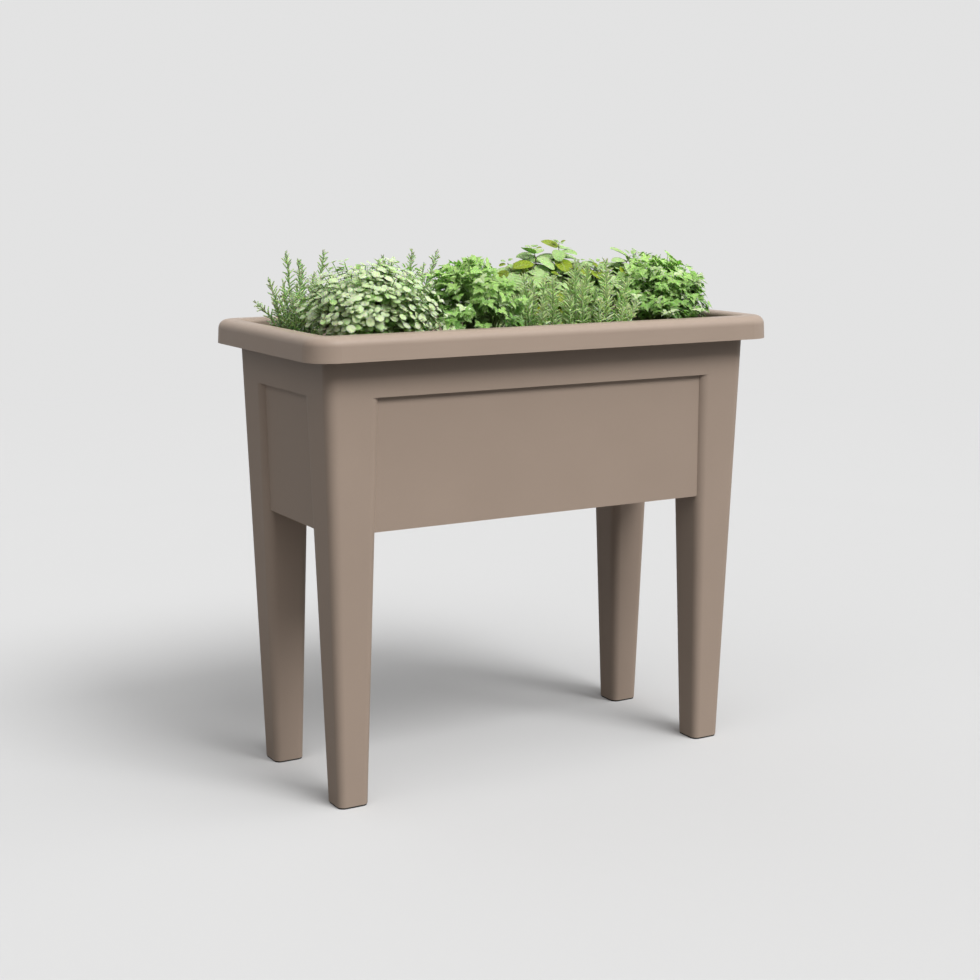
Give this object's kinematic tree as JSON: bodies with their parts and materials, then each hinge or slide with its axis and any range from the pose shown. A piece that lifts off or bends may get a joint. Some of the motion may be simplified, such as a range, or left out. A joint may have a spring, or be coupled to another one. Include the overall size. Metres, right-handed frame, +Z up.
{
  "type": "raised garden bed",
  "caption": "Rectangular plastic raised garden bed: tapered tub with rolled rim and recessed panels on plug-in legs, planted with herbs, with a pull-out drain plug.",
  "frame": {"origin": "on the floor, midway between the four feet, under the middle of the tub", "axes": "+Z up, X along the bed's length, Y across it with -Y the front that the picture shows"},
  "size_m": [0.76, 0.3726, 0.7756],
  "materials": {
    "taupe_plastic": "fine matte moulded plastic, taupe",
    "black_rubber": "matte",
    "dark_plastic": "matte moulded plastic, charcoal",
    "zinc_steel": "zinc plated",
    "potting_soil": "loose dark potting soil",
    "marjoram_leaf": "pale variegated leaf",
    "parsley_leaf": "fresh green leaf",
    "rosemary_needle": "grey green needles",
    "mint_leaf": "green leaf with olive undersides"
  },
  "bodies": {
    "bed": {"tub": "taupe_plastic", "leg_front_left": "taupe_plastic", "leg_front_right": "taupe_plastic", "leg_back_left": "taupe_plastic", "leg_back_right": "taupe_plastic", "foot_pad_front_left": "black_rubber", "foot_pad_front_right": "black_rubber", "foot_pad_back_left": "black_rubber", "foot_pad_back_right": "black_rubber", "leg_screws": "zinc_steel", "drain_grid_left": "dark_plastic", "drain_grid_right": "dark_plastic", "soil": "potting_soil", "marjoram": "marjoram_leaf", "parsley_centre": "parsley_leaf", "rosemary_front": "rosemary_needle", "parsley_right": "parsley_leaf", "rosemary_left": "rosemary_needle", "rosemary_back": "rosemary_needle", "mint": "mint_leaf"},
    "plug": {"drain_plug": "dark_plastic", "plug_seal": "black_rubber"}
  },
  "joints": [
    {"name": "drain_plug_pull", "type": "slide", "parent": "bed", "child": "plug", "axis": [0, 0, -1], "range_m": [0, 0.03]}
  ]
}
